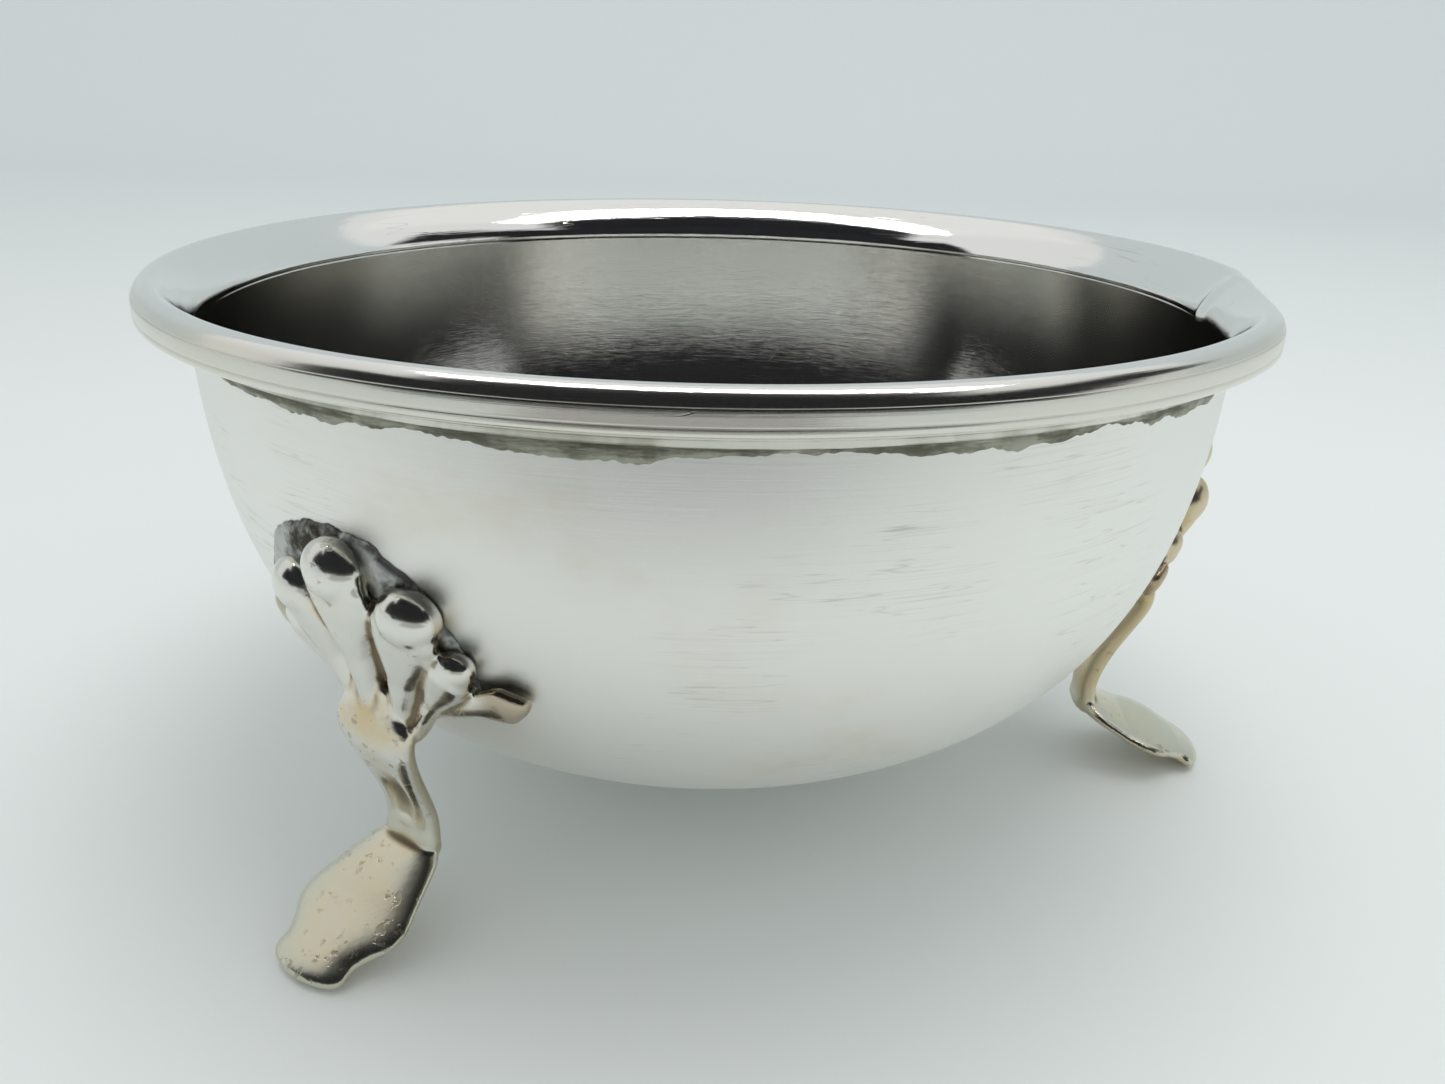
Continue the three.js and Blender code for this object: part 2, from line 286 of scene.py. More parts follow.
def rim_ring():
    """The profile turned round the axis; a bell-shaped knock moves it in, and the bevel is nicked."""
    profile = rim_profile()
    angle = np.linspace(0, 2 * np.pi, RIM_COLUMNS, endpoint=False)[None, :]
    radius, height = profile[:, :1], profile[:, 1:]
    outward = np.clip((radius - BEVEL_RADIUS) / (RIM_RADIUS - BEVEL_RADIUS), 0, 1)
    flat = near_angle(angle, KNOCK_ANGLE, KNOCK_WIDTH)
    corner = near_angle(angle, CORNER_ANGLE, CORNER_WIDTH)
    nick = near_angle(angle, NICK_ANGLE, NICK_WIDTH)
    knock = -KNOCK_DEPTH * flat * (0.35 + 0.65 * outward) + CORNER_BULGE * corner * outward
    knock = knock - NICK_DEPTH * nick * (1 - outward)
    ripple = waves(angle, height, 10, 14, 0.3) * 0.04
    turned = radius + knock + ripple * np.clip((RIM_RADIUS - radius) / 0.3, 0, 1)
    lift = waves(angle, 0 * height, 8, 9, 0.1) * 0.06 - KNOCK_SAG * flat * outward
    lift = (lift - 0.04) * np.clip((height - 55.5) / 2, 0, 1)
    points = np.stack([turned * np.cos(angle), turned * np.sin(angle), height + lift], -1)
    run = np.concatenate([[0], np.cumsum(np.hypot(*np.diff(profile, axis=0).T))])
    drawn = sum(np.exp(-(((profile[:, 1] - line) / DRAWN_WIDTH) ** 2)) for line in DRAWN_LINES)
    drawn = drawn * (profile[:, 0] > 59.5)
    return points, np.repeat(run, RIM_COLUMNS), np.repeat(drawn, RIM_COLUMNS)


rim_grid, rim_run, rim_lines = rim_ring()
rim_points, rim_faces = closed_ring(rim_grid)
rim_moulding = make_piece("rim_moulding_drawn", rim_points, rim_faces, along=rim_run, lines=rim_lines)
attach(rim_moulding, "root")
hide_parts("rim_moulding")
print("rim moulding:", len(rim_moulding.data.polygons), "faces")

# %% [markdown]
# ## The solder under the rim
#
# Solder ran into the joint between the rim and the bowl and was never fully cleaned off. It is a
# thin ragged line: wide and lumpy in places and hardly there in others, so a plain ring would look
# too neat. Its width and thickness follow the sums of waves that join up round the bowl.

# %% Rim solder
SOLDER_COLUMNS = 1440
SOLDER_TOP = 54.75
SOLDER_DROP, SOLDER_BULGE = 1.28, 0.22  # mean height and thickness of the line
THIN_ANGLE, THIN_WIDTH = np.radians(212), np.radians(17)  # where less solder ran out


def rim_solder_ring():
    """A half-round section on the bowl's wall whose drop and bulge change round the ring."""
    angle = np.linspace(0, 2 * np.pi, SOLDER_COLUMNS, endpoint=False)
    broad = waves(angle, 0.0 * angle, 10, 14, 0.1)
    fine = waves(angle, 0.0 * angle, 16, 90, 0.1)
    streaks = waves(angle, 0.0 * angle, 24, 420, 0.1)
    thin = 1 - 0.5 * near_angle(angle, THIN_ANGLE, THIN_WIDTH)
    drop = thin * np.clip(SOLDER_DROP + 0.45 * broad + 0.24 * fine + 0.07 * streaks, 0.15, 2.2)
    bulge = np.clip(SOLDER_BULGE + 0.05 * broad + 0.06 * fine, 0.06, 0.45)
    turn = np.linspace(-np.pi / 2, np.pi / 2, 9)[:, None]
    height = SOLDER_TOP - drop / 2 + np.sin(turn) * drop / 2
    front = bowl_radius(height) + np.cos(turn) * bulge + 0.01
    back_height = SOLDER_TOP - drop / 2 + np.array([[0.3], [-0.3]]) * drop
    back = bowl_radius(back_height) - 0.2
    radius = np.concatenate([front, back])
    height = np.concatenate([height, back_height])
    return np.stack([radius * np.cos(angle), radius * np.sin(angle), height], -1)


rim_solder_points, rim_solder_faces = closed_ring(rim_solder_ring())
rim_solder = make_piece("rim_solder_line", rim_solder_points, rim_solder_faces)
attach(rim_solder, "root")
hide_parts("rim_solder")
print("rim solder:", len(rim_solder.data.polygons), "faces")

# %% [markdown]
# ## A cast leg
#
# Each leg is one casting: knuckled ribs fan out over the bowl from a knee, an S-shaped shank drops
# from the knee, and a spade-shaped foot reaches out to a round toe. Modelling it from one block of
# polygons would be slow to shape, so each rib, ball and leaf is its own lofted body. A fine voxel
# remesh then melts them into one skin, as wax parts are joined before casting, and a little
# smoothing rounds the inner corners as the mould does.

# %% Lofted bodies for the leg
ROUND = np.linspace(0, 2 * np.pi, 40, endpoint=False)[None, :]
GROOVE_SPREAD = 0.34  # share of the section's width that a groove takes


def squared(values, power):
    """A sine or cosine made squarer by a power below 1, keeping its sign."""
    return np.sign(values) * np.abs(values) ** power


def loft_on_bowl(path, half_width, low, high, power):
    """A body lying on the bowl. The path gives across and height; the section is a half-round
    whose sides are half_width from the path and which reaches from low to high off the bowl."""
    path = np.asarray(path, float)
    along = np.gradient(path, axis=0)
    along /= np.linalg.norm(along, axis=1, keepdims=True)
    side = squared(np.cos(ROUND), power) * np.asarray(half_width)[:, None]
    rise = squared(np.sin(ROUND), power)
    middle, reach = (np.asarray(high) + low) / 2, (np.asarray(high) - low) / 2
    out = middle[:, None] + rise * reach[:, None]
    across = path[:, :1] + along[:, 1:] * side
    height = path[:, 1:] - along[:, :1] * side
    return closed_body(on_bowl(across, height, out))


def loft_upright(path, half_width, half_depth, power, offset=0.0, groove=0.0):
    """A body along a path of radius and height in the leg's upright plane. Its section is a
    superellipse: half_width across the leg and half_depth along the path's normal. A groove
    sinks the middle of its front."""
    path = np.asarray(path, float)
    along = np.gradient(path, axis=0)
    along /= np.linalg.norm(along, axis=1, keepdims=True)
    side = squared(np.cos(ROUND), power) * np.asarray(half_width)[:, None] + offset
    depth = squared(np.sin(ROUND), power) * np.asarray(half_depth)[:, None]
    sunk = np.exp(-((np.cos(ROUND) / GROOVE_SPREAD) ** 2)) * np.clip(np.sin(ROUND), 0, 1)
    depth = depth - sunk * np.reshape(groove, (-1, 1))
    radius = path[:, :1] + along[:, 1:] * depth
    height = path[:, 1:] - along[:, :1] * depth
    return closed_body(np.stack([radius, side, height], -1))


def knuckle_on_bowl(across, height, out, wide, tall, deep):
    """A flattened ball in the bowl's own directions: rings of a circle, stretched three ways."""
    rise = np.linspace(-np.pi / 2, np.pi / 2, 24)[:, None]
    side, up = np.cos(rise) * np.cos(ROUND) * wide, np.cos(rise) * np.sin(ROUND) * tall
    return closed_body(on_bowl(across + side, height + up, out + (np.sin(rise) + 0 * ROUND) * deep))


def rounded_ends(count, start, end):
    """Shares from 0 to 1 and back: a quarter circle over each end's share of the length."""
    place = np.linspace(0, 1, count)
    first = np.sqrt(np.clip(1 - (1 - np.clip(place / start, 0, 1)) ** 2, 0, 1))
    last = np.sqrt(np.clip(1 - (1 - np.clip((1 - place) / end, 0, 1)) ** 2, 0, 1))
    return first * last


# %% [markdown]
# A rib is a slim stem at the knee that swells like a teardrop and ends in a ball. The outer tails
# are flat leaves that end in a blunt diamond. Lofting them on the bowl's own surface makes the fan
# follow the bowl, as the casting was bent to do before it was soldered.

# %% Ribs and tails
KNEE_HEIGHT = 24.6
RIB_ROWS = 70
RIB_SWELL = [
    (0, 0.38), (0.2, 0.4), (0.33, 0.45), (0.5, 0.55), (0.6, 0.7), (0.7, 0.9), (0.8, 1.0), (0.92, 1.0),
    (1, 0.88),
]
RIB_RISE = [(0, 4.4), (0.14, 3.8), (0.28, 3.1), (0.48, 2.65), (0.7, 2.65), (0.85, 2.8), (0.92, 2.9), (1, 2.8)]

TAIL_PATH = [(3.0, 26.6), (8.0, 27.9), (12.5, 29.6), (17.4, 30.6)]
TAIL_WIDTH = [(0, 1.5), (0.35, 1.2), (0.62, 1.3), (0.85, 2.0), (1, 0.5)]


def rib_bodies(across, height, half_width, head, rise):
    """The stem follows a straight path on the bowl to the knuckle's middle; one table gives its
    width as a share of the widest place, and another how far it rises off the bowl."""
    share = np.linspace(0, 1, RIB_ROWS)
    path = np.stack([across * (0.36 + 0.64 * share), KNEE_HEIGHT + (height - KNEE_HEIGHT) * share], -1)
    ends = rounded_ends(RIB_ROWS, 0.03, 0.03)
    width = half_width * np.interp(share, *np.array(RIB_SWELL).T) * ends
    high = 0.7 + (np.interp(share, *np.array(RIB_RISE).T) * rise - 0.7) * ends
    knuckle = knuckle_on_bowl(across, height, 1.0, head, head * 0.92, 0.5 + head * 0.6 * rise)
    return [loft_on_bowl(path, width, 0.1, high, 0.9), knuckle]


def tail_bodies(side):
    """A flat leaf that leaves the knee sideways and widens to a blunt diamond."""
    count = 50
    share = np.linspace(0, 1, count)
    path = smooth_curve(np.array(TAIL_PATH) * [side, 1], count)
    width = np.interp(share, *np.array(TAIL_WIDTH).T) * rounded_ends(count, 0.05, 0.05)
    return [loft_on_bowl(path, width, 0.05, 0.7 + 1.0 * rounded_ends(count, 0.1, 0.2), 0.85)]


# %% [markdown]
# The shank and the foot are lofted in the leg's upright plane. Behind the ribs a thin plate follows
# the bowl and carries them.

# %% Shank, foot and back plate
SHANK_FRONT = [
    (48.4, 7.4), (49.2, 9.4), (49.2, 12.0), (49.9, 14.5), (51.0, 17.1), (52.1, 19.6), (52.9, 21.9),
    (53.0, 24.1), (52.6, 26.3), (52.4, 29.0),
]
SHANK_WIDTH = [2.8, 3.35, 3.1, 2.95, 3.3, 4.0, 4.6, 4.7, 3.6, 2.2]
SHANK_HALF = 1.1
SHANK_ROWS = 70
SHANK_GROOVE = 0.85
FOOT_WIDTH = [3.3, 3.7, 4.5, 5.3, 6.0, 6.6, 6.35, 5.2, 4.5, 4.6, 4.2, 3.1, 1.4]
FOOT_TOP = [
    (48.3, 10.1), (49.4, 9.4), (52.6, 7.3), (55.4, 5.4), (58.0, 3.8), (60.0, 2.6), (61.4, 1.7), (62.2, 1.0)
]
FOOT_TURN = -0.09
FOOT_ROWS = 120
FOOT_HALF = 0.95
FOOT_DOME = 0.1
FOOT_SINK = 1.05  # how far the plate's middle lies under the top line
HEEL_PATH = [(48.2, 7.3), (47.9, 8.8), (48.2, 10.6), (48.8, 12.6)]


def shank_body():
    """The front line moved back by half the thickness, with a width for each knot and a groove
    above the ankle."""
    front = smooth_curve(SHANK_FRONT, SHANK_ROWS)
    along = np.gradient(front, axis=0)
    along /= np.linalg.norm(along, axis=1, keepdims=True)
    middle = front - SHANK_HALF * np.stack([along[:, 1], -along[:, 0]], -1)
    width = smooth_curve(np.array(SHANK_WIDTH)[:, None], SHANK_ROWS)[:, 0]
    width = width * rounded_ends(SHANK_ROWS, 0.04, 0.06)
    depth = SHANK_HALF * rounded_ends(SHANK_ROWS, 0.05, 0.05)
    share = np.linspace(0, 1, SHANK_ROWS)
    groove = SHANK_GROOVE * np.exp(-(((share - 0.36) / 0.13) ** 2))
    return loft_upright(middle, width, depth, power=0.6, offset=0.3, groove=groove)


def foot_body():
    """A spade: the width follows a smooth table along the top line, which bends down towards the
    toe. The section is a squarish plate with a low dome whose keel lies right of the middle."""
    ends = rounded_ends(FOOT_ROWS, 0.05, 0.08)[:, None]
    width = smooth_curve(np.array(FOOT_WIDTH)[:, None], FOOT_ROWS) * ends
    top = smooth_curve(FOOT_TOP, FOOT_ROWS)
    along = np.gradient(top, axis=0)
    along /= np.linalg.norm(along, axis=1, keepdims=True)
    side = squared(np.cos(ROUND), 0.75)
    plate = squared(np.sin(ROUND), 0.75) * FOOT_HALF * ends
    keel = (1 - 0.6 * side**2) * np.exp(-(((side - 0.15) / 0.9) ** 2))
    rise = plate + FOOT_DOME * np.clip(np.sin(ROUND), 0, 1) * keel * ends - FOOT_SINK
    radius = top[:, :1] - along[:, 1:] * rise
    height = top[:, 1:] + along[:, :1] * rise
    across = side * width + FOOT_TURN * (radius - top[1, 0])
    return closed_body(np.stack([radius, across, height], -1))


def heel_body():
    """A small bulge behind the ankle, where the casting is thickest."""
    count = 30
    width, depth = 2.9 * rounded_ends(count, 0.3, 0.3), 0.9 * rounded_ends(count, 0.4, 0.5)
    return loft_upright(smooth_curve(HEEL_PATH, count), width, depth, power=0.95)


# Right halves of two outlines on the bowl, as arc length and height.
PLATE_HALF = [
    (0, 39.5), (4.5, 38.0), (8.6, 35.6), (11.2, 32.6), (12.0, 29.6), (9.0, 27.0), (5.2, 25.2), (0, 24.4)
]
SOLDER_HALF = [
    (0, 43.7), (5.0, 43.0), (9.4, 40.7), (12.6, 37.0), (14.4, 33.4),
    (14.9, 30.6), (12.0, 28.0), (6, 25.2), (0, 24),
]
FAN_MIDDLE = 33.0
PLATE_COLUMNS = 240
PLATE_ROWS = 26


def plate_on_bowl(half_outline, low, high, thin_edge, ragged=0.0, right=1.0):
    """A sheet on the bowl from low to high: rings shrink from the outline to its middle on both
    faces. Its edge keeps the thin_edge share of the height, and waves make the outline ragged."""
    half = np.array(half_outline, float)
    loop = np.concatenate([half * [right, 1], (half[1:-1] * [-1, 1])[::-1], half[:1]])
    edge = smooth_curve(loop, PLATE_COLUMNS + 1)[:-1]
    middle = np.array([0.0, FAN_MIDDLE])
    around = np.linspace(0, 2 * np.pi, PLATE_COLUMNS, endpoint=False)
    lobes = waves(around, 0 * around, 14, 34, 0.1) + 0.6 * waves(around, 0 * around, 10, 80, 0.1)
    edge = middle + (edge - middle) * (1 + ragged * lobes)[:, None]
    share = np.linspace(0, 1, PLATE_ROWS)
    rings = np.concatenate([share, share[::-1]])[:, None, None]
    flat = middle + (edge - middle)[None] * rings
    lump = waves(flat[..., 0] / 3, flat[..., 1], 12, 5, 1.2)
    crown = high * (1 - thin_edge) * np.sqrt(np.clip(1 - share**6, 0, 1)) + high * thin_edge
    crown = crown[:, None] * (1 + min(ragged * 5, 0.25) * lump[:PLATE_ROWS])
    out = np.concatenate([crown, np.full((PLATE_ROWS, PLATE_COLUMNS), low)])
    return closed_body(on_bowl(flat[..., 0], flat[..., 1], out))


# Each rib's arc length and height at its knuckle, half width, knuckle radius and rise.
MIDDLE_RIB = (0.3, 40.3, 3.5, 3.25, 1.05)
SIDE_RIBS = [(7.5, 37.7, 3.2, 3.0, 1.0), (11.0, 33.4, 2.0, 1.8, 0.9)]
SIDES = [(-1, 0.82, 1.1), (1, 1.0, 0.0)]  # the left side is drawn in and hangs lower


def leg_bodies():
    """Every part of one leg in the upright plane through +X, before they are melted together."""
    bodies = [plate_on_bowl(PLATE_HALF, 0.1, 1.3, thin_edge=0.5), shank_body(), foot_body(), heel_body()]
    bodies += rib_bodies(*MIDDLE_RIB)
    for side, spread, drop in SIDES:
        for across, height, *measures in SIDE_RIBS:
            bodies += rib_bodies(side * across * spread, height - drop, *measures)
        bodies += tail_bodies(side)
    return bodies


# %% [markdown]
# The bodies are joined, melted by a voxel remesh, smoothed, and then set clear of the bowl and cut
# flat where the toe stands. Each leg was set by eye, so the front one is turned and leans a little,
# and the right one's ankle was pressed in. Numbers stored at each vertex say how hollow the casting
# is there and which way it faces, for the tarnish and for the painted shade in the hollows and on
# the sides that face away from the light.

# %% Melt, trim and place the legs
LEG_VOXEL = 0.24
SOFTENING = 8  # passes of smoothing after the remesh
LEG_GAP = 0.1  # kept between a leg and the bowl
SHANK_TOP = 20.0  # below it a leg is nowhere near the bowl
ANKLE_HEIGHT, ANKLE_SPREAD = 9.5, 6.0
ANKLE_IN, ANKLE_DOWN = 1.0, 1.3
FOOT_SWING = 0.17  # sideways for each millimetre outwards
RIBS_END, TAILS_TOP = 11.5, 33.5


def merged(bodies):
    """Many bodies as one list of points and faces, each numbered after the last."""
    points, faces, first = [], [], 0
    for body_points, body_faces in bodies:
        if volume_of(body_points, body_faces) < 0:
            body_faces = [f[::-1] for f in body_faces]
        points.append(body_points)
        faces += [[i + first for i in f] for f in body_faces]
        first += len(body_points)
    return np.concatenate(points), faces


def melted(bodies):
    """One skin round all the bodies, from a voxel remesh and a few passes of smoothing."""
    points, faces = merged(bodies)
    rough = make_piece("leg_parts", points, faces)
    remesh = rough.modifiers.new("melt", "REMESH")
    remesh.mode = "VOXEL"
    remesh.voxel_size = LEG_VOXEL * MM
    remesh.use_smooth_shade = True
    smooth = rough.modifiers.new("soften", "SMOOTH")
    smooth.factor = 0.5
    smooth.iterations = SOFTENING
    evaluated = rough.evaluated_get(bpy.context.evaluated_depsgraph_get()).to_mesh()
    skin = np.empty(len(evaluated.vertices) * 3, np.float32)
    evaluated.vertices.foreach_get("co", skin)
    quads = np.empty(len(evaluated.loops), np.int32)
    evaluated.loops.foreach_get("vertex_index", quads)
    bpy.data.objects.remove(rough)
    return skin.reshape(-1, 3).astype(float) / MM, quads.reshape(-1, 4)


def neighbour_mean(values, quads, passes):
    """Each vertex takes the mean of the corners beside it, as many times as asked."""
    beside = np.roll(quads, 1, 1).ravel(), np.roll(quads, -1, 1).ravel()
    corner = quads.ravel()
    share = np.bincount(corner, minlength=len(values)) * 2.0
    for _ in range(passes):
        total = np.zeros_like(values)
        for other in beside:
            for axis in range(values.shape[1]):
                total[:, axis] += np.bincount(corner, values[other, axis], minlength=len(values))
        values = total / share[:, None]
    return values


def vertex_normals(points, quads):
    """Normals from the cross product of each quad's diagonals, added up at its corners."""
    first, second, third, fourth = (points[quads[:, i]] for i in range(4))
    cross = np.cross(third - first, fourth - second)
    summed = [np.bincount(quads.ravel(), np.repeat(part, 4), minlength=len(points)) for part in cross.T]
    total = np.stack(summed, -1)
    return total / np.maximum(np.linalg.norm(total, axis=1, keepdims=True), 1e-9)


def hollows(points, quads, passes):
    """How deep a vertex lies under the smoothed surface, in millimetres: hollows are positive."""
    apart = neighbour_mean(points, quads, passes) - points
    depth = np.einsum("ij,ij->i", apart, vertex_normals(points, quads))
    return neighbour_mean(depth[:, None], quads, 2)[:, 0]


def clear_of_bowl(points, distance):
    """Vertices nearer to the bowl than the distance are moved out along the radius, and none is
    left under the table."""
    radius = np.hypot(points[:, 0], points[:, 1])
    least = bowl_radius(points[:, 2]) + distance
    grow = np.where((radius < least) & (points[:, 2] > SHANK_TOP), least / radius, 1.0)
    return np.stack([points[:, 0] * grow, points[:, 1] * grow, np.maximum(points[:, 2], 0.0)], -1)


def placed(points, angle, lean):
    """Leans the leg about the radial line through its fan, then turns it round the axis."""
    cos, sin = np.cos(lean), np.sin(lean)
    side, up = points[:, 1], points[:, 2] - FAN_MIDDLE
    out, across, height = points[:, 0], side * cos - up * sin, side * sin + up * cos + FAN_MIDDLE
    cos, sin = np.cos(angle), np.sin(angle)
    return np.stack([out * cos - across * sin, out * sin + across * cos, height], -1)


def sunk_ankle(points):
    """The ankle pressed inwards and down and the foot turned back as the right leg was soldered."""
    near = np.exp(-(((points[:, 2] - ANKLE_HEIGHT) / ANKLE_SPREAD) ** 2))
    near = near * np.clip((59.0 - points[:, 0]) / 6.0, 0, 1)
    turned = FOOT_SWING * np.clip(points[:, 0] - 50.0, 0, 13) * np.clip((12.0 - points[:, 2]) / 4.0, 0, 1)
    return points - np.stack([ANKLE_IN * near, -turned, ANKLE_DOWN * near], -1)


# Turn round the bowl, lean, and how tarnished each leg is.
LEGS = {
    "leg_right": (0.0, 0.0, 1.0),
    "leg_rear": (2 * np.pi / 3, 0.0, 0.6),
    "leg_front": (4 * np.pi / 3 + 0.009, -0.035, 0.0),
}

leg_skin, leg_quads = melted(leg_bodies())
# The fine hollow measure drives tarnish and painted shade in the creases.
leg_hollows = hollows(leg_skin, leg_quads, passes=10)
# The broad hollow measure drives gold tarnish and painted shade in the broad hollows.
leg_dips = hollows(leg_skin, leg_quads, passes=60)
facing = vertex_normals(leg_skin, leg_quads)
# Sides that face neither outwards nor up get painted shade in a tarnish brown, along with some real tarnish.
leg_side_tarnish_and_shade = np.clip(0.62 - np.maximum(facing[:, 0], 0.8 * facing[:, 2]), 0, 1)
beyond_ribs = np.clip((np.abs(leg_skin[:, 1]) - RIBS_END) / 2, 0, 1)
leg_tails = beyond_ribs * np.clip((TAILS_TOP - leg_skin[:, 2]) / 2, 0, 1)
stored = {"hollow": leg_hollows, "dip": leg_dips, "side_tarnish_and_shade": leg_side_tarnish_and_shade, "tail": leg_tails}
leg_pieces, patch_pieces = [], []
for leg_name, (leg_turn, leg_lean, leg_tarnish) in LEGS.items():
    leg_set = sunk_ankle(leg_skin) if leg_name == "leg_right" else leg_skin
    leg_points = clear_of_bowl(placed(leg_set, leg_turn, leg_lean), LEG_GAP)
    tarnish = np.full(len(leg_skin), leg_tarnish)
    leg = make_piece(leg_name + "_cast", leg_points, leg_quads.tolist(), **stored, tarnish=tarnish)
    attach(leg, "root")
    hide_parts(leg_name)
    leg_pieces.append(leg)
    patch_points, patch_faces = plate_on_bowl(SOLDER_HALF, 0.02, 0.8, ragged=0.012, thin_edge=0.1, right=0.8)
    patch = make_piece(leg_name + "_solder_patch", placed(patch_points, leg_turn, 0.0), patch_faces)
    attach(patch, "root")
    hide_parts(leg_name + "_solder")
    patch_pieces.append(patch)
print("each leg:", len(leg_quads), "faces; deepest hollow", round(float(leg_hollows.max()), 2), "mm")

# %% [markdown]
# ## Writing shader maths as Python
#
# A material is a graph of nodes. Wrapping a socket in a small class lets the graph be written as a
# sum or a product, and each operator adds its own Math node.

# %% The socket wrapper
class Value:
    """A socket of a material. Arithmetic on it adds Math nodes, and numbers may stand on either side."""

    def __init__(self, tree, socket):
        self.tree, self.socket = tree, socket

    def math(self, operation, *others):
        inputs = dict(enumerate((self, *others)))
        return make_node(self.tree, "ShaderNodeMath", {"operation": operation}, inputs)

    def __add__(self, other):
        return self.math("ADD", other)

    __radd__ = __add__

    def __mul__(self, other):
        return self.math("MULTIPLY", other)

    __rmul__ = __mul__

    def __sub__(self, other):
        return self.math("SUBTRACT", other)

    def __rsub__(self, other):
        return make_node(self.tree, "ShaderNodeMath", {"operation": "SUBTRACT"}, {0: other, 1: self})


def make_node(tree, kind, settings=None, inputs=None, output=0):
    """Adds a node, sets its settings first, then fills its sockets with numbers or links."""
    node = tree.nodes.new(kind)
    for key, setting in (settings or {}).items():
        setattr(node, key, setting)
    for key, value in (inputs or {}).items():
        socket = node.inputs[key]
        if isinstance(value, Value):
            tree.links.new(value.socket, socket)
        else:
            socket.default_value = value
    return Value(tree, node.outputs[output])


class Finish:
    """A material for one of the bowl's surfaces, with the patterns that metal finishes share."""

    def __init__(self, name, **shader):
        self.material = bpy.data.materials.new(name)
        self.material.use_nodes = True
        self.tree = self.material.node_tree
        self.shader = self.tree.nodes["Principled BSDF"]
        for key, value in shader.items():
            self.shader.inputs[key.replace("_", " ")].default_value = value
        self.place = self.node("ShaderNodeTexCoord", output="Object")

    def node(self, kind, settings=None, inputs=None, output=0):
        return make_node(self.tree, kind, settings, inputs, output)

    def feed(self, name, value):
        self.tree.links.new(value.socket, self.shader.inputs[name])

    def attribute(self, name):
        return self.node("ShaderNodeAttribute", {"attribute_name": name}, output="Fac")

    def stretched(self, scale, turn=(0, 0, 0)):
        return self.node("ShaderNodeMapping", None, {"Vector": self.place, "Scale": scale, "Rotation": turn})

    def noise(self, place, scale, detail=3.0, roughness=0.55):
        inputs = {"Vector": place, "Scale": scale, "Detail": detail, "Roughness": roughness}
        return self.node("ShaderNodeTexNoise", None, inputs)

    def part(self, axis):
        """The X, Y or Z of the place, for axis 0, 1 or 2."""
        return self.node("ShaderNodeSeparateXYZ", None, {"Vector": self.place}, output=axis)

    def wrapped(self, along, round_scale, along_scale):
        """A place that changes slowly round the axis and fast along the profile, so that noise there
        draws lines round the axis."""
        parts = {0: self.part(0) * round_scale, 1: self.part(1) * round_scale, 2: along * along_scale}
        return self.node("ShaderNodeCombineXYZ", None, parts)

    def ramp(self, value, low, high):
        """0 below low, 1 above high and a smooth step between; high may be below low."""
        settings = {"interpolation_type": "SMOOTHSTEP"}
        return self.node("ShaderNodeMapRange", settings, {"Value": value, "From Min": low, "From Max": high})

    def mix(self, mask, first, second):
        """The first colour where the mask is 0 and the second where it is 1."""
        first, second = (c if isinstance(c, Value) else (*c, 1) for c in (first, second))
        return self.node("ShaderNodeMix", {"data_type": "RGBA"}, {0: mask, 6: first, 7: second}, output=2)

    def scratches(self, scale, turn, width, patch):
        """Thin lines where a stretched noise crosses its middle value, kept only in patches."""
        lines = self.noise(self.stretched(scale, turn), 1.0, 1.0)
        crossing = self.ramp((lines - 0.5).math("ABSOLUTE"), width, 0.0)
        return crossing * self.ramp(self.noise(self.place, 45.0), patch, patch + 0.12)

    def bump(self, height, strength, distance):
        inputs = {"Height": height, "Strength": strength, "Distance": distance}
        return self.node("ShaderNodeBump", None, inputs)


# %% [markdown]
# ## Satin silver of the bowl
#
# The outside was brushed round and round and has a soft shine, with fine level lines, stray
# scratches and faint warm stains. The inside was polished on the wheel, so it is close to a mirror
# with very fine rings. One stored number per vertex says which side of the wall a place is on.

# %% Bowl finish
WARM_STAIN = (0.86, 0.80, 0.68)
SCRATCH_GREY = (0.50, 0.49, 0.46)


def bowl_finish():
    """Brushed silver where the stored side is 0 and wheel-polished silver where it is 1."""
    finish = Finish("satin_silver_bowl", Metallic=1.0)
    along = finish.attribute("along")
    inside = finish.ramp(finish.attribute("inside"), 0.4, 0.6)
    wrapped = finish.wrapped(along, 22.0, 1.6)
    brushed = finish.noise(wrapped, 3.0, 6.0, 0.7)
    fine = finish.noise(wrapped, 11.0, 3.0, 0.6)
    cloudy = finish.noise(finish.place, 38.0, 4.0)
    stain = finish.ramp(finish.noise(finish.stretched((1, 1, 1.6)), 26.0, 5.0, 0.62), 0.56, 0.74)
    strays = finish.scratches((40, 40, 1900), (0.05, 0.03, 0), 0.012, 0.54)
    strays = strays + finish.scratches((35, 35, 1200), (0.7, -0.9, 0.4), 0.012, 0.52)
    silver = finish.mix(cloudy, (0.915, 0.915, 0.875), (0.965, 0.96, 0.92))
    silver = finish.mix(stain * 0.6, silver, WARM_STAIN)
    silver = finish.mix(strays * 0.24, silver, SCRATCH_GREY)
    bright = finish.mix(cloudy, (0.70, 0.70, 0.66), (0.82, 0.81, 0.77))
    finish.feed("Base Color", finish.mix(inside, silver, bright))
    satin = 0.34 + 0.12 * brushed + 0.08 * cloudy + 0.1 * strays
    polished = 0.05 + 0.05 * fine + 0.03 * cloudy
    finish.feed("Roughness", satin * (1 - inside) + polished * inside)
    lines = brushed * (1 - inside * 0.75) + fine * 0.35 - strays * (1 - inside) * 0.12
    finish.feed("Normal", finish.bump(lines, 0.12, 0.0002))
    return finish.material


bowl_shell.data.materials.append(bowl_finish())
print("bowl finish:", len(bowl_shell.data.materials[0].node_tree.nodes), "nodes")

# %% [markdown]
# ## Polished silver of the rim
#
# The rim was polished on a wheel. Polish doesn't reach the drawn lines, so tarnish stays dark in
# them, and its lower band has gone a little warm.

# %% Rim finish
DULL_BAND = (0.72, 0.70, 0.62)
WARM_BAND = (0.78, 0.68, 0.50)
LINE_TARNISH = (0.16, 0.13, 0.10)


